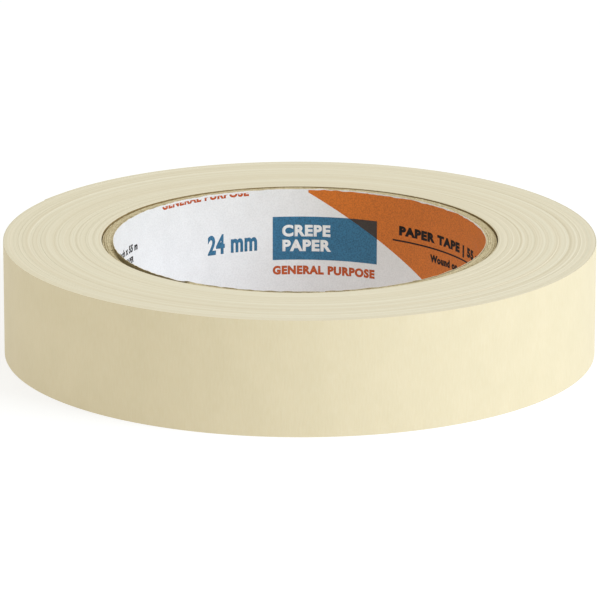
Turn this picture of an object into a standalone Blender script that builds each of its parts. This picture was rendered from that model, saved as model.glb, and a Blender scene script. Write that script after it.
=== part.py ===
"""A roll of masking tape on a spiral-wound paper core, lying on its side face.

Frame: +Z is the roll's axis, and the origin is the centre of the lower side face.
Lengths are in metres and angles in degrees.

The core is a printed paper liner, five board plies and a thin outer wrap. Each is a
strip that was wound at a slant, so each ring is open at one slanted butt seam, and the
seams are staggered. The tape is one strip wound on the core. It is made in three pieces:
the winding, its last full turn, and the free end, which peels off about a line across
the tape.
"""

import math

import bmesh
import bpy
from mathutils import Matrix, Vector

# Tape
TAPE_WIDTH = 0.024
TURN_PITCH = 0.00012
TAPE_THICKNESS = 0.0001
ROLL_RADIUS = 0.0615

# Core
BORE_RADIUS = 0.0386
CORE_RECESS = 0.0004
LINER_THICKNESS = 0.00012
PLY_THICKNESS = 0.0004
PLY_COUNT = 5
GLUE_LINE = 0.00003

# Butt seams of the core's strips
SEAM_GAP = 0.0005
SEAM_SLANT = 32.0
LINER_SEAM_ANGLE = -110.0
SEAM_STAGGER = 137.0
BLADE_DEPTH = 4  # wall thicknesses, so that a blade clears its strip's faceted wall

# Free end of the tape
FREE_EDGE_ANGLE = 152.0
TAB_SWEEP = 30.0
STRIP_GAP_ANGLE = 0.1

SEGMENTS = 120
SEGMENT_SWEEP = 360.0 / SEGMENTS
SEAM_ROWS = 12
MERGE_DISTANCE = 0.000001

CORE_HEIGHT = TAPE_WIDTH - 2 * CORE_RECESS
CORE_RADIUS = (
    BORE_RADIUS + 2 * LINER_THICKNESS + PLY_COUNT * PLY_THICKNESS + (PLY_COUNT + 2) * GLUE_LINE
)

PRINTED_PAPER = ("printed_paper", (0.87, 0.87, 0.86), 0.6)
CORE_BOARD = ("core_board", (0.42, 0.36, 0.26), 0.95)
CREPE_PAPER = ("crepe_paper", (0.80, 0.73, 0.53), 0.7)


def clear_scene():
    for thing in list(bpy.data.objects):
        bpy.data.objects.remove(thing, do_unlink=True)


def new_collection(name):
    collection = bpy.data.collections.new(name)
    bpy.context.scene.collection.children.link(collection)
    return collection


def material(finish):
    """The Principled material of a (name, colour, roughness) finish, made once."""
    name, colour, roughness = finish
    made = bpy.data.materials.get(name)
    if made is None:
        made = bpy.data.materials.new(name)
        made.use_nodes = True
        shader = made.node_tree.nodes["Principled BSDF"]
        shader.inputs["Base Color"].default_value = (*colour, 1.0)
        shader.inputs["Roughness"].default_value = roughness
        shader.inputs["Metallic"].default_value = 0.0
    return made


def place(name, data, collection, finish=None):
    thing = bpy.data.objects.new(name, data)
    collection.objects.link(thing)
    if finish is not None:
        data.materials.append(material(finish))
    return thing


def on_circle(radius, angle):
    turn = math.radians(angle)
    return Vector((radius * math.cos(turn), radius * math.sin(turn), 0))


def winding_radius(sweep):
    """The winding's outer radius, sweep degrees on from the free edge."""
    return ROLL_RADIUS - 2 * TURN_PITCH + TURN_PITCH * sweep / 360.0


def strip_radius(sweep):
    """The inner radius of the last turn, which lies on the winding."""
    return winding_radius(sweep) + TURN_PITCH - TAPE_THICKNESS


def turned_ring(name, inner, outer, low, high, collection, finish):
    """A ring about Z: a rectangle turned by a Screw modifier."""
    profile = bpy.data.meshes.new(name)
    corners = [(outer, 0, high), (outer, 0, low), (inner, 0, low), (inner, 0, high)]
    profile.from_pydata(corners, [(0, 1), (1, 2), (2, 3), (3, 0)], [])
    ring = place(name, profile, collection, finish)
    screw = ring.modifiers.new("turn", "SCREW")
    screw.axis = "Z"
    screw.steps = screw.render_steps = SEGMENTS
    screw.use_merge_vertices = True
    screw.merge_threshold = MERGE_DISTANCE
    screw.use_smooth_shade = True
    return ring


def seam_cutter(name, radius, thickness, angle, collection):
    """A thin upright blade through the wall, twisted about Z to the seam's slant."""
    height = CORE_HEIGHT + 2 * SEAM_GAP
    twist = height / math.tan(math.radians(SEAM_SLANT)) / radius
    blade = bmesh.new()
    bmesh.ops.create_cube(blade, size=1.0)
    bmesh.ops.scale(blade, vec=(BLADE_DEPTH * thickness, SEAM_GAP, height), verts=blade.verts)
    upright = [e for e in blade.edges if abs(e.verts[0].co.z - e.verts[1].co.z) > height / 2]
    bmesh.ops.subdivide_edges(blade, edges=upright, cuts=SEAM_ROWS - 1, use_grid_fill=True)
    bmesh.ops.translate(blade, vec=(radius + thickness / 2, 0, 0), verts=blade.verts)
    for vert in blade.verts:
        vert.co = Matrix.Rotation(twist * vert.co.z / height, 3, "Z") @ vert.co
    data = bpy.data.meshes.new(name)
    blade.to_mesh(data)
    blade.free()
    cutter = place(name, data, collection)
    cutter.location.z = TAPE_WIDTH / 2
    cutter.rotation_euler.z = math.radians(angle)
    cutter.hide_render = True
    cutter.display_type = "WIRE"
    return cutter


def core_strips():
    """(name, thickness, finish) of each strip of the core, from the bore outwards."""
    strips = [("core_liner", LINER_THICKNESS, PRINTED_PAPER)]
    strips += [(f"core_ply_{n}", PLY_THICKNESS, CORE_BOARD) for n in range(1, PLY_COUNT + 1)]
    strips += [("core_wrap", LINER_THICKNESS, CORE_BOARD)]
    return strips


def core(collection, cutters):
    radius = BORE_RADIUS
    for index, (name, thickness, finish) in enumerate(core_strips()):
        ring = turned_ring(
            name, radius, radius + thickness, CORE_RECESS, TAPE_WIDTH - CORE_RECESS, collection, finish
        )
        seam_angle = LINER_SEAM_ANGLE + index * SEAM_STAGGER
        seam = ring.modifiers.new("seam", "BOOLEAN")
        seam.operation = "DIFFERENCE"
        seam.solver = "EXACT"
        seam.object = seam_cutter(f"{name}_seam", radius, thickness, seam_angle, cutters)
        radius += thickness + GLUE_LINE


def poly_spline(curve, points, cyclic):
    spline = curve.splines.new("POLY")
    spline.points.add(len(points) - 1)
    for target, point in zip(spline.points, points):
        target.co = (point.x, point.y, 0.0, 1.0)
    spline.use_cyclic_u = cyclic


def upright_curve(name):
    """A 2D curve whose extrusion is the tape's width."""
    curve = bpy.data.curves.new(name, "CURVE")
    curve.dimensions = "2D"
    curve.extrude = TAPE_WIDTH / 2
    return curve


def tape_winding(collection):
    """All turns but the last: a disc with a step where its outer turn goes on as the last one."""
    curve = upright_curve("tape_winding")
    curve.fill_mode = "BOTH"
    sweeps = [index * SEGMENT_SWEEP for index in range(SEGMENTS + 1)]
    outline = [on_circle(winding_radius(s), FREE_EDGE_ANGLE + s) for s in sweeps]
    poly_spline(curve, outline, cyclic=True)
    hole = [on_circle(CORE_RADIUS, s) for s in sweeps[:-1]]
    poly_spline(curve, hole, cyclic=True)
    winding = place("tape_winding", curve, collection, CREPE_PAPER)
    winding.location.z = TAPE_WIDTH / 2


def tape_strip(name, start, end, origin, collection):
    """Tape from start to end degrees on from the free edge: a ribbon given its thickness by Solidify."""
    curve = upright_curve(name)
    first = math.floor(start / SEGMENT_SWEEP) + 1
    last = math.ceil(end / SEGMENT_SWEEP) - 1
    sweeps = [start, *(index * SEGMENT_SWEEP for index in range(first, last + 1)), end]
    path = [on_circle(strip_radius(s), FREE_EDGE_ANGLE + s) - origin for s in sweeps]
    poly_spline(curve, path, cyclic=False)
    strip = place(name, curve, collection, CREPE_PAPER)
    strip.location = (origin.x, origin.y, TAPE_WIDTH / 2)
    solidify = strip.modifiers.new("thickness", "SOLIDIFY")
    solidify.thickness = TAPE_THICKNESS
    solidify.offset = -1.0
    solidify.use_even_offset = True


def tape(collection):
    tape_winding(collection)
    peel_sweep = 360.0 - TAB_SWEEP
    tape_strip("tape_last_turn", STRIP_GAP_ANGLE, peel_sweep - STRIP_GAP_ANGLE, Vector(), collection)
    peel_line = on_circle(strip_radius(peel_sweep) + TAPE_THICKNESS / 2, FREE_EDGE_ANGLE + peel_sweep)
    tape_strip("tape_free_end", peel_sweep, 360.0 - STRIP_GAP_ANGLE, peel_line, collection)


def main():
    clear_scene()
    roll = new_collection("masking_tape_roll")
    cutters = new_collection("cutters")
    core(roll, cutters)
    tape(roll)


main()
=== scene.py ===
"""The looks of a roll of masking tape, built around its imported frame.

Lengths are in metres and angles in degrees about the roll's axis, +Z. A sweep is an angle
along the outermost turn, on from the tape's free edge. The core's print is laid out flat
first: an arc to the right along the bore, from the middle of its far side, and a height.
"""

import math

import bmesh
import bpy
import numpy as np
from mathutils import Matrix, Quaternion, Vector


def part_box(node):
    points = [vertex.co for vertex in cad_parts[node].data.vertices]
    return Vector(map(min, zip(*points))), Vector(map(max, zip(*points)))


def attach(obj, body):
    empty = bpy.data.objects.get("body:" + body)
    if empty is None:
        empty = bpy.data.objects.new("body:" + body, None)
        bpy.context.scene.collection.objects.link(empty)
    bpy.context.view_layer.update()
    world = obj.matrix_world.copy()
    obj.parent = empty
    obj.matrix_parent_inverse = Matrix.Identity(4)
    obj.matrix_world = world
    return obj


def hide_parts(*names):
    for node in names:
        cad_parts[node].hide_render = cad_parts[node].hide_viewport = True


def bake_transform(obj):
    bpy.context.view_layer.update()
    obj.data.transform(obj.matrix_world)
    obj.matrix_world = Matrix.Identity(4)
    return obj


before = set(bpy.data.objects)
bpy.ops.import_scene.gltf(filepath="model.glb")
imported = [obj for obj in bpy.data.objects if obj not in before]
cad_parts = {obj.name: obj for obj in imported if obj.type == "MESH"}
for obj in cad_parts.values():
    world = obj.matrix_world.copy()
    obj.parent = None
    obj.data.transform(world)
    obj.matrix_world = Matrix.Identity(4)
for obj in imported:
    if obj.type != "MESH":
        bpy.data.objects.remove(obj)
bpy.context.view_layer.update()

# Tape, as in the frame
TAPE_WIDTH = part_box("tape_winding")[1].z
TURN_PITCH = 0.00012
TAPE_THICKNESS = 0.0001
ROLL_RADIUS = 0.0615
FREE_EDGE_ANGLE = 152.0
TAB_SWEEP = 30.0
PEEL_SWEEP = 360.0 - TAB_SWEEP

# Core, as in the frame
GLUE_LINE = 0.00003
CORE_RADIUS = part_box("core_wrap")[1].x + GLUE_LINE
LINER_THICKNESS = 0.00012
BORE_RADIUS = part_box("core_liner")[1].x - LINER_THICKNESS
SEAM_SLANT = 32.0
LINER_SEAM_ANGLE = -110.0
SEAM_STAGGER = 137.0
PLY_NODES = [f"core_ply_{number}" for number in range(1, 6)]

# Relief of the side faces: waves of the turns' slip, as shares of SLIP and lengths in turns
SLIP = 0.00028
MEAN_SLIP = 0.42
BROAD_SLIP, BROAD_TURNS = 0.13, 14
STEP_SLIP, STEP_TURNS, STEP_SHARPNESS = 0.13, 6, 5
FINE_SLIP, FINE_TURNS = 0.09, 2.1
INNER_STRENGTH = 0.6
OUTER_GAIN, OUTER_START = 0.5, 60
STRENGTH_WAVE, STRENGTH_TURNS = 0.25, 30
BEVEL_SLIP, BEVEL_TURNS = 0.35, 4
RIM_SLIP, RIM_TURNS = 0.02, 14
GROOVE_DEPTH = 0.000008
WINDING_COLUMNS = 144

# Crepe of the outer face
STRIP_COLUMN = 0.00011
STRIP_ROWS = 26
FREE_END_ROWS = 90
CREPE_DEPTH = 0.00001
TORN_EDGE = 0.4  # degrees
TEAR_FADE = 12  # how fast the tear dies away from the free edge, as a power
FREE_EDGE_LIFT = 0.0001

# Core ends, recessed from the tape's side faces and worn down further at one place
LINER_RECESS = 0.0004
PLY_RECESSES = [0.00058, 0.00056, 0.00056, 0.0006, 0.00068]
WRAP_RECESS = 0.00116
CORE_RISE = 0.00006
CORE_TILT = 0.00028
WEAR_START, WEAR_END = 178.0, 235.0
WEAR_FADE_IN, WEAR_FADE_OUT = 30.0, 3.0
LINER_WEAR = 0.00022
PLY_WEAR = [0.0016, 0.0012, 0.0005, 0.0005, 0.0005]
CORE_COLUMNS = 540
CORE_ROWS = 25
END_FACES = 4
SEAM_GAP = 0.0003  # narrower than in the frame
LINER_WAVE = 0.00002
LINER_WAVES = 32

# Print on the liner
FAR_ANGLE = 90.0
INK = 0.000012
INK_SINK = INK / 4
INK_COLUMN = 0.0005
FIELD_SLOPE = -0.611
FIELD_START = (0.00136, 0.02317)
FIELD_TO_SEAM = 0.0003
PANEL_LEFT, PANEL_RIGHT = -0.0058, 0.0171
PANEL_LOW, PANEL_HIGH = 0.0079, 0.0175
MARK_REPEAT = -0.078
NOTE_REPEAT = 0.062

# Camera
CAMERA_DISTANCE = 1.109
CAMERA_ELEVATION = 16.12
CAMERA_TARGET = (0.0001, 0, 0.0104)
CAMERA_ROLL = 0.0016  # radians


# ---------------------------------------------------------------- noise and places

def noise(seed, across, along=0.0, period=256):
    """Smooth noise from -1 to 1, one random value at each whole-number corner."""
    corners = np.random.default_rng(seed).uniform(-1, 1, (period, period))
    across, along = np.broadcast_arrays(np.asarray(across, float), np.asarray(along, float))
    x, y = np.floor(across).astype(int), np.floor(along).astype(int)
    fx, fy = across - x, along - y
    fx, fy = fx * fx * (3 - 2 * fx), fy * fy * (3 - 2 * fy)
    left, right = x % period, (x + 1) % period
    low, high = y % period, (y + 1) % period
    near = corners[left, low] * (1 - fx) + corners[right, low] * fx
    far = corners[left, high] * (1 - fx) + corners[right, high] * fx
    return near * (1 - fy) + far * fy


def smooth_step(value):
    value = np.clip(value, 0, 1)
    return value * value * (3 - 2 * value)


def polar(radius, angle, height):
    """Points from arrays of radius, angle and height."""
    radius, angle, height = np.broadcast_arrays(radius, np.radians(angle), height)
    return np.stack((radius * np.cos(angle), radius * np.sin(angle), height), axis=-1)


def winding_radius(sweep):
    """The winding's outer radius."""
    return ROLL_RADIUS - 2 * TURN_PITCH + TURN_PITCH * sweep / 360.0


def strip_radius(sweep):
    """The inner radius of the last turn, which lies on the winding."""
    return winding_radius(sweep) + TURN_PITCH - TAPE_THICKNESS


def crepe(arc, height):
    """Height of the crepe wrinkles, which run across the tape, from -1 to 1. Each layer of them has
    its length along the tape and its length across it, in metres."""
    drift = 0.0006 * noise(1, arc / 0.004, height / 0.003)
    coarse = noise(2, (arc + drift) / 0.0007, height / 0.0042)
    fine = noise(3, (arc + 2 * drift) / 0.00036, height / 0.0019)
    broad = noise(4, arc / 0.006, height / 0.009)
    return 0.5 * coarse + 0.4 * fine + 0.1 * broad


# ---------------------------------------------------------------- shader nodes

def linear(red, green, blue):
    """A linear RGBA colour from display values of 0 to 255."""
    def decoded(part):
        return part / 12.92 if part <= 0.04045 else ((part + 0.055) / 1.055) ** 2.4

    return (*[decoded(value / 255) for value in (red, green, blue)], 1.0)


def add(tree, kind, inputs, **settings):
    """A shader node's first output, its inputs set by name or number to values or sockets."""
    made = tree.nodes.new("ShaderNode" + kind)
    for name, value in settings.items():
        setattr(made, name, value)
    for key, value in inputs.items():
        if isinstance(value, bpy.types.NodeSocket):
            tree.links.new(value, made.inputs[key])
        else:
            made.inputs[key].default_value = value
    return made.outputs[0]


def new_material(name, roughness, specular=0.5):
    made = bpy.data.materials.new(name)
    made.use_nodes = True
    shader = made.node_tree.nodes["Principled BSDF"]
    shader.inputs["Roughness"].default_value = roughness
    shader.inputs["Specular IOR Level"].default_value = specular
    return made, made.node_tree, shader


def grain(tree, place, size, detail=2.0):
    """Noise from 0 to 1 with features of size (x, y, z) in metres."""
    scaled = add(tree, "VectorMath", {0: place, 1: [1 / length for length in size]}, operation="MULTIPLY")
    return add(tree, "TexNoise", {"Vector": scaled, "Scale": 1.0, "Detail": detail, "Roughness": 0.55})


def ramp(tree, factor, low, high, start=0.3, end=0.7):
    """A colour from low to high as factor goes from start to end."""
    made = tree.nodes.new("ShaderNodeValToRGB")
    tree.links.new(factor, made.inputs[0])
    first, last = made.color_ramp.elements
    first.position, first.color = start, low
    last.position, last.color = end, high
    return made.outputs[0]


def mixed(tree, factor, first, second, blend="MIX"):
    made = tree.nodes.new("ShaderNodeMix")
    made.data_type = "RGBA"
    made.blend_type = blend
    for key, value in ((0, factor), (6, first), (7, second)):
        if isinstance(value, bpy.types.NodeSocket):
            tree.links.new(value, made.inputs[key])
        else:
            made.inputs[key].default_value = value
    return made.outputs[2]


def math_node(tree, operation, first, second=0.0):
    return add(tree, "Math", {0: first, 1: second}, operation=operation)


def bumped(tree, shader, height, distance, strength=1.0):
    """Gives the shader a bump of that many metres."""
    normal = add(tree, "Bump", {"Height": height, "Distance": distance, "Strength": strength})
    tree.links.new(normal, shader.inputs["Normal"])


def paint(tree, shader, colour):
    tree.links.new(colour, shader.inputs["Base Color"])


def strip_place(tree):
    """The place on the unwound tape, in metres: x along it and y across it."""
    return add(tree, "UVMap", {}, uv_map="unwound")


def object_place(tree):
    return tree.nodes.new("ShaderNodeTexCoord").outputs["Object"]


# ---------------------------------------------------------------- materials

def crepe_material():
    """The tape's smooth-coated crepe face."""
    made, tree, shader = new_material("crepe_face", 0.62, 0.4)
    place = strip_place(tree)
    streaks = grain(tree, place, (0.00035, 0.0022, 1), 3.0)
    specks = grain(tree, place, (0.00016, 0.0005, 1), 2.0)
    clouds = grain(tree, place, (0.006, 0.008, 1), 2.0)
    relief = math_node(tree, "ADD", streaks, math_node(tree, "MULTIPLY", specks, 0.6))
    body = ramp(tree, streaks, linear(217, 204, 174), linear(219, 207, 179), 0.35, 0.65)
    soft = ramp(tree, clouds, linear(252, 252, 251), linear(255, 255, 255), 0.35, 0.65)
    paint(tree, shader, mixed(tree, 1.0, body, soft, "MULTIPLY"))
    bumped(tree, shader, relief, 0.00002, 0.6)
    return made


def edge_material():
    """The side faces: the cut edges of many turns, in fine rings."""
    made, tree, shader = new_material("wound_edges", 0.75, 0.3)
    place = object_place(tree)
    flat = add(tree, "VectorMath", {0: place, 1: (1, 1, 0)}, operation="MULTIPLY")
    length = tree.nodes.new("ShaderNodeVectorMath")
    length.operation = "LENGTH"
    tree.links.new(flat, length.inputs[0])
    radius = length.outputs["Value"]
    bearing = add(tree, "VectorMath", {0: flat}, operation="NORMALIZE")
    rings = []
    for width, turning in ((0.0011, 0.3), (0.00034, 0.5), (0.00013, 0.8)):
        out = add(tree, "CombineXYZ", {"Z": math_node(tree, "DIVIDE", radius, width)})
        around = add(tree, "VectorMath", {0: bearing, 1: (turning,) * 3}, operation="MULTIPLY")
        ring_place = add(tree, "VectorMath", {0: out, 1: around}, operation="ADD")
        rings.append(add(tree, "TexNoise", {"Vector": ring_place, "Scale": 1.0, "Detail": 1.0}))
    broad, bands, lines = rings
    body = ramp(tree, bands, linear(232, 223, 208), linear(237, 230, 217), 0.35, 0.65)
    soft = ramp(tree, broad, linear(250, 248, 245), linear(255, 255, 255), 0.35, 0.65)
    dark_lines = ramp(tree, lines, linear(247, 245, 241), linear(255, 255, 255), 0.25, 0.5)
    shaded = mixed(tree, 1.0, body, soft, "MULTIPLY")
    paint(tree, shader, mixed(tree, 1.0, shaded, dark_lines, "MULTIPLY"))
    fuzz = grain(tree, place, (0.00012, 0.00012, 0.00012), 2.0)
    relief = math_node(tree, "ADD", lines, math_node(tree, "MULTIPLY", fuzz, 0.5))
    bumped(tree, shader, relief, 0.00002, 0.7)
    return made


def adhesive_material(name, low, high):
    """The sticky side of the tape."""
    made, tree, shader = new_material(name, 0.32, 0.5)
    place = strip_place(tree)
    smears = grain(tree, place, (0.0012, 0.004, 1), 3.0)
    streaks = grain(tree, place, (0.0004, 0.003, 1), 2.0)
    paint(tree, shader, ramp(tree, smears, low, high))
    bumped(tree, shader, math_node(tree, "ADD", smears, streaks), 0.00002, 0.6)
    return made


def board_material(name, low, high):
    """Grey-brown chipboard: short fibres and dark flecks."""
    made, tree, shader = new_material(name, 0.95, 0.15)
    place = object_place(tree)
    pulp = grain(tree, place, (0.0006, 0.0006, 0.0003), 4.0)
    flecks = grain(tree, place, (0.00025, 0.00025, 0.00012), 2.0)
    body = ramp(tree, pulp, low, high, 0.32, 0.68)
    dark = ramp(tree, flecks, linear(190, 178, 160), linear(255, 255, 255), 0.3, 0.42)
    paint(tree, shader, mixed(tree, 1.0, body, dark, "MULTIPLY"))
    bumped(tree, shader, math_node(tree, "ADD", pulp, flecks), 0.00008, 0.8)
    return made


def paper_material(name, colour, roughness, mottle, specular=0.35):
    """Printed paper: one ink or bare paper, a little darker in the grain by mottle."""
    made, tree, shader = new_material(name, roughness, specular)
    place = object_place(tree)
    speckle = grain(tree, place, (0.0003, 0.0003, 0.0003), 3.0)
    clouds = grain(tree, place, (0.004, 0.004, 0.004), 2.0)
    shade = 255 * (1 - mottle)
    dark = ramp(tree, speckle, linear(shade, shade, shade), linear(255, 255, 255), 0.34, 0.6)
    soft = ramp(tree, clouds, linear(251, 251, 251), linear(255, 255, 255), 0.35, 0.65)
    shaded = mixed(tree, 1.0, colour, dark, "MULTIPLY")
    paint(tree, shader, mixed(tree, 1.0, shaded, soft, "MULTIPLY"))
    bumped(tree, shader, speckle, 0.00001, 0.5)
    return made


# ---------------------------------------------------------------- meshes

def make_mesh(name, points, faces, face_materials, materials, places=None):
    """A mesh object from arrays, its normals out and its hard edges kept. places are per-point UVs."""
    data = bpy.data.meshes.new(name)
    data.from_pydata(points.reshape(-1, 3).tolist(), [], faces)
    for material in materials:
        data.materials.append(material)
    data.polygons.foreach_set("material_index", face_materials)
    if places is not None:
        layer = data.uv_layers.new(name="unwound")
        corners = np.empty(len(data.loops), int)
        data.loops.foreach_get("vertex_index", corners)
        layer.uv.foreach_set("vector", places.reshape(-1, 2)[corners].astype(np.float32).ravel())
    shell = bmesh.new()
    shell.from_mesh(data)
    bmesh.ops.remove_doubles(shell, verts=shell.verts, dist=1e-7)
    bmesh.ops.recalc_face_normals(shell, faces=shell.faces)
    shell.to_mesh(data)
    shell.free()
    data.shade_smooth()
    data.set_sharp_from_angle(angle=math.radians(50))
    thing = bpy.data.objects.new(name, data)
    bpy.context.scene.collection.objects.link(thing)
    return thing


def quads(first, second):
    """Quads between two rows of vertex numbers, or two grids of them, row by row."""
    stacked = np.stack((first[..., :-1], first[..., 1:], second[..., 1:], second[..., :-1]), axis=-1)
    return stacked.reshape(-1, 4).tolist()


def loft(name, sections, sides, materials, places=None):
    """A closed solid through sections, each a closed loop of points, with flat ends.
    sides has the material number of the faces that follow each point of the loop."""
    count, loop = sections.shape[:2]
    index = np.arange(count * loop).reshape(count, loop)
    index = np.concatenate((index, index[:, :1]), axis=1)
    faces = quads(index[:-1], index[1:])
    faces += [index[0, :-1].tolist(), index[-1, :-1][::-1].tolist()]
    face_materials = np.tile(sides, count - 1).tolist() + [sides[0]] * 2
    return make_mesh(name, sections, faces, face_materials, materials, places)


def settle(piece, slot, *nodes):
    """The piece moves with the roll, and stands for those CAD nodes."""
    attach(piece, "roll")
    if nodes:
        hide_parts(*nodes)


# ---------------------------------------------------------------- tape

TURNS = round((winding_radius(0) - CORE_RADIUS) / TURN_PITCH)


def slipped(wound):
    """How far each turn's edge lies in from the upper side face, wound turns out from the core."""
    broad = BROAD_SLIP * noise(11, wound / BROAD_TURNS)
    sharp = STEP_SLIP * np.tanh(STEP_SHARPNESS * noise(12, wound / STEP_TURNS))
    steps = sharp + FINE_SLIP * noise(13, wound / FINE_TURNS)
    further_out = smooth_step((wound - OUTER_START) / STRENGTH_TURNS)
    strength = INNER_STRENGTH + OUTER_GAIN * further_out
    strength += STRENGTH_WAVE * noise(14, wound / STRENGTH_TURNS)
    bevel = BEVEL_SLIP * smooth_step(1 - wound / BEVEL_TURNS)
    bands = MEAN_SLIP + broad + steps * strength + bevel
    near_rim = smooth_step(2 * (wound - TURNS + RIM_TURNS) / RIM_TURNS)
    return SLIP * (bands + (RIM_SLIP - bands) * near_rim)


def ridged(wound, recess):
    """The recess at each sample of a side face: ridges on the turns and grooves between them."""
    groove = np.maximum(recess(wound - 0.5), recess(wound + 0.5)) + GROOVE_DEPTH
    return np.where(np.arange(wound.shape[-1]) % 2 == 0, groove, recess(wound))


def winding(crepe_face, edges, shaded_core_side):
    """All the turns but the last, with a ridge for each turn on both side faces. It is one spiral:
    a turn's last column meets the next turn's first."""
    step = np.arange(2 * TURNS + 1) / 2
    column = np.linspace(0, 1, WINDING_COLUMNS + 1)[:, None]
    wound = step + column
    radius = CORE_RADIUS + (winding_radius(0) - CORE_RADIUS) * wound / TURNS
    angle = FREE_EDGE_ANGLE + 360 * column
    top = polar(radius, angle, TAPE_WIDTH - ridged(wound, slipped))
    bottom = polar(radius, angle, ridged(wound, lambda turn: SLIP - slipped(turn)))
    upper = np.arange(wound.size).reshape(wound.shape)
    lower = upper + wound.size
    faces = quads(upper[:-1], upper[1:]) + quads(lower[1:], lower[:-1])
    kinds = [0] * len(faces)
    walls = ((1, upper[:, -1], lower[:, -1]), (1, upper[-1, -3:], lower[-1, -3:]))
    # The inner wall against the core takes the darker adhesive, partly painted shade of the gap there.
    walls += ((2, upper[:, 0], lower[:, 0]), (2, upper[0, :3], lower[0, :3]))
    for kind, high, low in walls:
        wall = quads(high, low)
        faces += wall
        kinds += [kind] * len(wall)
    points = np.concatenate((top, bottom))
    arc = np.broadcast_to(np.radians(360 * (column - 1)) * ROLL_RADIUS, wound.shape)
    places = np.stack((np.concatenate((arc, arc)), points[..., 2]), axis=-1)
    piece = make_mesh("wound_tape", points, faces, kinds, [edges, crepe_face, shaded_core_side], places)
    settle(piece, "crepe_paper", "tape_winding")


def strip(name, start, end, rows, inner_rows, torn, materials):
    """The outermost tape from one sweep to another, its face creped, with rows and inner_rows of faces
    up its two sides. With torn at 1, its end is ragged and stands a little off the roll."""
    length = math.radians(end - start) * ROLL_RADIUS
    along = np.linspace(0, 1, round(length / STRIP_COLUMN))[:, None]
    outer_rise = np.linspace(0, TAPE_WIDTH, rows + 1)
    inner_rise = np.linspace(TAPE_WIDTH, 0, inner_rows + 1)
    rise = np.concatenate((outer_rise, inner_rise))
    tear = noise(21, rise / 0.0006) + 0.7 * noise(22, rise / 0.0025) + 0.7 * noise(23, rise / 0.008)
    sweep = start + (end - start) * along + torn * TORN_EDGE * tear * along**TEAR_FADE
    arc = np.radians(sweep) * ROLL_RADIUS
    outside = np.arange(len(rise)) <= rows
    thickness = np.where(outside, TAPE_THICKNESS + CREPE_DEPTH * crepe(arc, rise), 0)
    lift = torn * FREE_EDGE_LIFT * smooth_step(along * 5 - 4)
    sections = polar(strip_radius(sweep) + thickness + lift, FREE_EDGE_ANGLE + sweep, rise)
    sides = [0] * rows + [1] + [2] * inner_rows + [1]
    places = np.stack((arc, np.broadcast_to(rise, arc.shape)), axis=-1)
    return loft(name, sections, sides, materials, places)


def outermost_turn(materials):
    last_turn = strip("last_turn", 0.0, PEEL_SWEEP, STRIP_ROWS, 1, 0, materials)
    settle(last_turn, "crepe_paper", "tape_last_turn")
    free_end = strip("free_end", PEEL_SWEEP, 360.0, FREE_END_ROWS, FREE_END_ROWS, 1, materials)
    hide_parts("tape_free_end")
    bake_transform(free_end)


# ---------------------------------------------------------------- core

def tilt(angle):
    """How much higher the core lies in the tape than its place, as it is a little askew."""
    return CORE_RISE + CORE_TILT * np.sin(np.radians(angle))


def wear(angle):
    """How worn the core's upper end is, from 0 to 1: there is a notch at the near left."""
    past = np.mod(angle, 360)
    fade_in = smooth_step((past - WEAR_START) / WEAR_FADE_IN)
    return fade_in * smooth_step((WEAR_END - past) / WEAR_FADE_OUT)


def bore_wave(angle):
    """The liner's slight waviness, in metres, the same for the paper and the ink on it."""
    return LINER_WAVE * noise(31, angle / 360 * LINER_WAVES, period=LINER_WAVES)


def liner_edge(angle, radius):
    """The ragged cut of the liner's ends, in metres past the straight cut: nibbles all the way round,
    and frayed stretches here and there."""
    arc = np.radians(angle) * BORE_RADIUS
    nibbles = 0.00007 * noise(32, arc / 0.0009) + 0.00005 * noise(33, arc / 0.0021)
    frayed = smooth_step(noise(34, arc / 0.004) / 0.4 - 0.9)
    return nibbles + 0.0001 * frayed * noise(35, arc / 0.0007)


def seam_shift(height, radius):
    """How far round a slanted seam is at each height, from its place at half height."""
    return np.degrees((height - TAPE_WIDTH / 2) / math.tan(math.radians(SEAM_SLANT)) / radius)


def slit_ring(name, inner, outer, recess, worn, seam_angle, rough, wave, materials):
    """A ring of strip wound at a slant, open at its butt seam, with rough ends, the upper one worn down
    at the notch. Its upright columns stop at the seam, where the rest of them draw together. The
    materials are for its inner face, its ends and its outer face."""
    middle = (inner + outer) / 2
    walls = np.linspace(recess, TAPE_WIDTH - recess, CORE_ROWS)
    across = np.linspace(outer, inner, END_FACES + 1)[1:-1]
    radius = np.concatenate((np.full(CORE_ROWS, outer), across, np.full(CORE_ROWS, inner), across[::-1]))
    upper, lower = np.full_like(across, walls[-1]), np.full_like(across, walls[0])
    height = np.concatenate((walls, upper, walls[::-1], lower))
    ends, wall_faces = [1] * END_FACES, CORE_ROWS - 1
    sides = [2] * wall_faces + ends + [0] * wall_faces + ends
    end = np.where(height == walls[-1], 1, np.where(height == walls[0], -1, 0))
    gap = math.degrees(SEAM_GAP / middle)
    start = seam_angle + gap / 2 + seam_shift(height, middle)
    reach = 360 + 2 * seam_shift(TAPE_WIDTH, middle)
    around = seam_angle + 180 + reach * np.linspace(-0.5, 0.5, CORE_COLUMNS)[:, None]
    angle = np.clip(around, start, start + 360 - gap)
    lowered = worn * wear(angle) * (height - walls[0]) / (walls[-1] - walls[0])
    height = height + end * rough(angle, radius) + tilt(angle) - lowered
    radius = radius + (radius < middle) * wave(angle)
    return loft(name, polar(radius, angle, height), sides, materials)


def fibrous(angle, radius):
    """The board's rough cut, in metres past the straight cut."""
    arc = np.radians(angle) * radius
    fine = 0.00005 * noise(41, arc / 0.0012, radius / 0.0003)
    coarse = 0.00004 * noise(42, arc / 0.004, radius / 0.0004)
    return fine + coarse + 0.00005 * noise(43, angle / 360 * 6, period=6)


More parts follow.
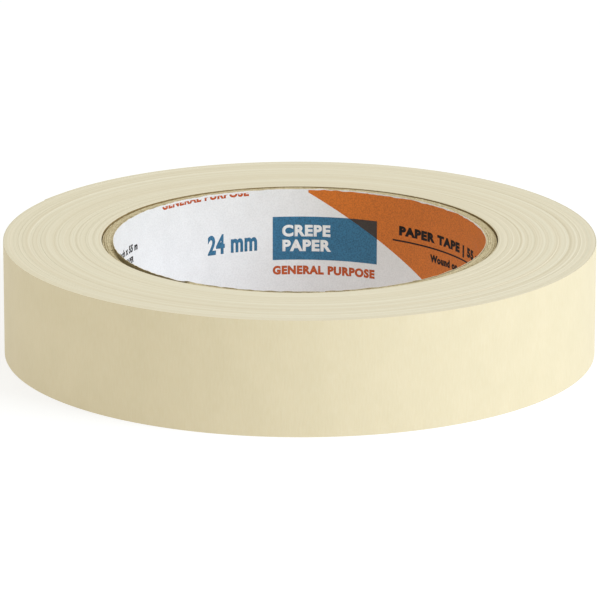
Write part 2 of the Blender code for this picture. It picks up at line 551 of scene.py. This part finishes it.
def core(paper, torn, board, board_end):
    liner = slit_ring(
        "liner", BORE_RADIUS, BORE_RADIUS + LINER_THICKNESS, LINER_RECESS, LINER_WEAR, LINER_SEAM_ANGLE,
        liner_edge, bore_wave, [paper, torn, board],
    )
    settle(liner, "printed_paper", "core_liner")
    inner = BORE_RADIUS + LINER_THICKNESS + GLUE_LINE
    ends = zip([*PLY_NODES, "core_wrap"], [*PLY_RECESSES, WRAP_RECESS], [*PLY_WEAR, 0.0])
    for number, (node, recess, worn) in enumerate(ends, start=1):
        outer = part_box(node)[1].x
        ring = slit_ring(
            node.replace("core", "board"), inner, outer, recess, worn,
            LINER_SEAM_ANGLE + number * SEAM_STAGGER, fibrous, np.zeros_like, [board, board_end, board],
        )
        settle(ring, "core_board", node)
        inner = outer + GLUE_LINE


# ---------------------------------------------------------------- print on the liner

def bend(arc, height, depth):
    """Points on the bore from the flat layout, depth into the paper."""
    angle = FAR_ANGLE - np.degrees(arc / BORE_RADIUS)
    return polar(BORE_RADIUS + bore_wave(angle) + depth, angle, height + tilt(angle))


def field_edge(arc):
    """The height of the slanted edge between the white and the orange."""
    return FIELD_START[1] + FIELD_SLOPE * (arc - FIELD_START[0])


def seam_edge(arc):
    """The height of the liner's seam, for an arc past the right of the far side."""
    middle = math.radians(FAR_ANGLE - LINER_SEAM_ANGLE) * BORE_RADIUS
    return TAPE_WIDTH / 2 - (arc - middle) * math.tan(math.radians(SEAM_SLANT))


def ink_field(name, start, end, low, high, level, ink):
    """A printed field between the heights low and high at each arc: a thin solid that stands level films
    of ink proud of the paper."""
    arc = np.linspace(start, end, round((end - start) / INK_COLUMN) + 1)[:, None]
    height = np.concatenate((low(arc), high(arc)), axis=1)
    face = bend(arc, height, -level * INK)
    back = bend(arc, height[:, ::-1], INK_SINK)
    settle(loft(name, np.concatenate((face, back), axis=1), [0] * 4, [ink]), "printed_paper")


def flat(height):
    return lambda arc: np.full_like(arc, height)


def lettering(text, weight):
    """The flat outline of a line of text, as a mesh to be cut."""
    curve = bpy.data.curves.new(text, "FONT")
    curve.body = text
    curve.offset = weight
    curve.space_character = 1 + 2 * weight
    curve.resolution_u = 4
    outline = bpy.data.objects.new(text, curve)
    bpy.context.scene.collection.objects.link(outline)
    bpy.context.view_layer.update()
    data = bpy.data.meshes.new_from_object(outline.evaluated_get(bpy.context.evaluated_depsgraph_get()))
    bpy.data.objects.remove(outline)
    letters = bmesh.new()
    letters.from_mesh(data)
    return unfolded(letters)


def drop_loose(letters):
    loose = [vert for vert in letters.verts if not vert.link_faces]
    bmesh.ops.delete(letters, geom=loose, context="VERTS")


def unfolded(letters):
    """The flat letters without the slivers that their thickened outlines fold over one another."""
    while True:
        folds = [e for e in letters.edges if len(e.link_faces) > 1 and not e.is_contiguous]
        if not folds:
            break
        sliver = min(folds[0].link_faces, key=lambda face: face.calc_area())
        bmesh.ops.delete(letters, geom=[sliver], context="FACES")
    drop_loose(letters)
    for vert in [vert for vert in letters.verts if not vert.is_manifold]:
        bmesh.utils.vert_separate(vert, [edge for edge in vert.link_edges if edge.is_boundary])
    return letters


def slice_letters(letters, places, direction, discard=False):
    """Cuts the letters across at each place along a direction, and can discard what is past it."""
    for place in places:
        everything = letters.verts[:] + letters.edges[:] + letters.faces[:]
        middle = Vector(direction) * place
        bmesh.ops.bisect_plane(
            letters, geom=everything, plane_co=middle, plane_no=direction, clear_outer=discard
        )


def ink_words(name, text, left, right, low, high, level, ink, weight=0.055, cut=None):
    """Generic words printed from left to right between two heights, level films of ink proud of the
    paper, and cut off at the height cut if there is one."""
    letters = lettering(text, weight)
    xs = [vert.co.x for vert in letters.verts]
    ys = [vert.co.y for vert in letters.verts]
    first, last, foot, head = min(xs), max(xs), min(ys), max(ys)
    for vert in letters.verts:
        vert.co.x = left + (right - left) * (vert.co.x - first) / (last - first)
        vert.co.y = low + (high - low) * (vert.co.y - foot) / (head - foot)
    slice_letters(letters, np.arange(left + INK_COLUMN, right, INK_COLUMN), (1, 0, 0))
    if cut:
        slice_letters(letters, [cut], (0, 1, 0), discard=True)
    bmesh.ops.dissolve_degenerate(letters, edges=letters.edges, dist=1e-6)
    drop_loose(letters)
    bmesh.ops.solidify(letters, geom=letters.faces[:], thickness=INK)
    places = np.array([vert.co for vert in letters.verts])
    depth = np.where(np.abs(places[:, 2]) > INK / 2, INK_SINK, -level * INK)
    for vert, place in zip(letters.verts, bend(places[:, 0], places[:, 1], depth)):
        vert.co = place
    data = bpy.data.meshes.new(name)
    letters.to_mesh(data)
    letters.free()
    data.materials.append(ink)
    words = bpy.data.objects.new(name, data)
    bpy.context.scene.collection.objects.link(words)
    settle(words, "printed_paper")


def liner_print():
    orange = paper_material("orange_ink", linear(211, 115, 33), 0.55, 0.14)
    blue = paper_material("blue_ink", linear(50, 113, 151), 0.5, 0.2)
    overprint = paper_material("overprinted_ink", linear(60, 51, 46), 0.5, 0.14)
    black = paper_material("black_ink", linear(26, 20, 18), 0.6, 0.1, 0.2)
    red = paper_material("red_ink", linear(192, 84, 34), 0.5, 0.1)
    white = paper_material("knocked_out_white", linear(232, 233, 235), 0.6, 0.04)

    def frayed(arc):
        return 0.00017 + 0.0001 * noise(51, arc / 0.0008) + 0.0001 * noise(52, arc / 0.003)

    def field_low(arc):
        return np.maximum(LINER_RECESS + frayed(arc), field_edge(arc))

    def field_high(arc):
        upper_end = TAPE_WIDTH - LINER_RECESS - frayed(arc + 0.01)
        return np.minimum(upper_end, seam_edge(arc) - FIELD_TO_SEAM)

    seam_foot = math.radians(FAR_ANGLE - LINER_SEAM_ANGLE) * BORE_RADIUS
    seam_foot += (TAPE_WIDTH / 2 - LINER_RECESS) / math.tan(math.radians(SEAM_SLANT))
    # The field's two points are cut off before they are too thin for a solid.
    field_start, field_end = FIELD_START[0] + 0.0005, seam_foot - 0.001
    ink_field("orange_field", field_start, field_end, field_low, field_high, 1, orange)
    crossing = FIELD_START[0] + (PANEL_HIGH - FIELD_START[1]) / FIELD_SLOPE
    ink_field("overprint", crossing, PANEL_RIGHT, field_edge, flat(PANEL_HIGH), 3, overprint)

    for number in range(2):
        mark = number * MARK_REPEAT
        ink_field(
            f"blue_panel_{number}", mark + PANEL_LEFT, mark + PANEL_RIGHT,
            flat(PANEL_LOW), flat(PANEL_HIGH), 2, blue,
        )
        ink_words(
            f"panel_words_{number}", "CREPE\nPAPER", mark - 0.0038, mark + 0.0068,
            0.0098, 0.0157, 4, white, 0.05,
        )
        ink_words(
            f"kind_words_{number}", "24 mm", mark - 0.0206, mark - 0.0092,
            0.0102, 0.0146, 1, blue, 0.04,
        )
        ink_words(
            f"use_words_{number}", "GENERAL PURPOSE", mark + PANEL_LEFT, mark + 0.0166,
            0.0046, 0.0066, 1, red, 0.06,
        )
        note = number * NOTE_REPEAT
        ink_words(
            f"note_words_{number}", "PAPER TAPE | 55 m", note + 0.0225, note + 0.0515,
            0.0146, 0.0173, 2, black, 0.07,
        )
        ink_field(
            f"note_rule_{number}", note + 0.0209, note + 0.0560,
            flat(0.0138), flat(0.01415), 2, black,
        )
        ink_words(
            f"note_small_{number}", "Wound on a paper core", note + 0.0310, note + 0.0520,
            0.0104, 0.0126, 2, black, 0.07,
        )
    ink_words(
        "cut_words", "GENERAL PURPOSE", -0.0330, -0.0110,
        0.02245, 0.02425, 1, red, cut=TAPE_WIDTH - 2 * LINER_RECESS,
    )
    ink_words("small_words_high", "1 inch x 55 m", -0.0530, -0.0420, 0.0161, 0.0178, 1, black)
    ink_words("small_words_low", "CREPE PAPER", -0.0510, -0.0438, 0.0138, 0.0152, 1, black)


# ---------------------------------------------------------------- stage

def look_at(thing, place, target, roll=0.0):
    thing.location = place
    thing.rotation_mode = "QUATERNION"
    turn = (Vector(target) - Vector(place)).to_track_quat("-Z", "Y")
    thing.rotation_quaternion = turn @ Quaternion((0, 0, 1), roll)


def camera():
    data = bpy.data.cameras.new("camera")
    data.lens = 320
    data.sensor_width = 36
    data.clip_end = 20
    thing = bpy.data.objects.new("camera", data)
    bpy.context.scene.collection.objects.link(thing)
    elevation = math.radians(CAMERA_ELEVATION)
    back, up = CAMERA_DISTANCE * math.cos(elevation), CAMERA_DISTANCE * math.sin(elevation)
    look_at(thing, (0, -back, TAPE_WIDTH / 2 + up), CAMERA_TARGET, CAMERA_ROLL)
    bpy.context.scene.camera = thing


def area_light(name, place, size, power, colour):
    data = bpy.data.lights.new(name, "AREA")
    data.shape = "RECTANGLE"
    data.size, data.size_y = size
    data.energy = power
    data.color = colour
    thing = bpy.data.objects.new(name, data)
    bpy.context.scene.collection.objects.link(thing)
    look_at(thing, place, (0, 0, TAPE_WIDTH / 2))


def stage():
    bpy.ops.mesh.primitive_plane_add(size=8)
    floor = bpy.context.object
    floor.name = "floor"
    made, tree, shader = new_material("floor", 0.9, 0.0)
    shader.inputs["Base Color"].default_value = (0.5, 0.5, 0.5, 1)
    shader.inputs["Emission Color"].default_value = (0.9, 0.91, 0.98, 1)
    shader.inputs["Emission Strength"].default_value = 0.65
    floor.data.materials.append(made)
    world = bpy.data.worlds.new("world")
    world.use_nodes = True
    world.node_tree.nodes["Background"].inputs["Color"].default_value = (1.0, 0.98, 0.79, 1)
    world.node_tree.nodes["Background"].inputs["Strength"].default_value = 0.745
    bpy.context.scene.world = world
    area_light("key", (1.13, -0.576, 0.592), (0.7, 0.7), 12.3, (0.78, 0.885, 1.0))
    bpy.context.scene.view_settings.view_transform = "Standard"


def main():
    crepe_face, edges = crepe_material(), edge_material()
    adhesive = adhesive_material("adhesive_side", linear(206, 186, 136), linear(220, 203, 158))
    # A darker, browner copy of the adhesive for the tape's inner wall at the core: board colour where it
    # is glued on, and painted shade of the narrow gap between the tape and the recessed core.
    stuck_and_shaded_side = adhesive_material("adhesive_on_the_core", linear(138, 114, 76), linear(164, 140, 98))
    winding(crepe_face, edges, stuck_and_shaded_side)
    outermost_turn([crepe_face, edges, adhesive])
    paper = paper_material("liner_paper", linear(228, 229, 232), 0.6, 0.04)
    torn = paper_material("torn_paper", linear(236, 222, 202), 0.9, 0.12, 0.1)
    board = board_material("core_board", linear(150, 136, 108), linear(176, 163, 134))
    board_end = board_material("core_board_end", linear(190, 173, 141), linear(221, 208, 181))
    core(paper, torn, board, board_end)
    liner_print()
    camera()
    stage()


main()
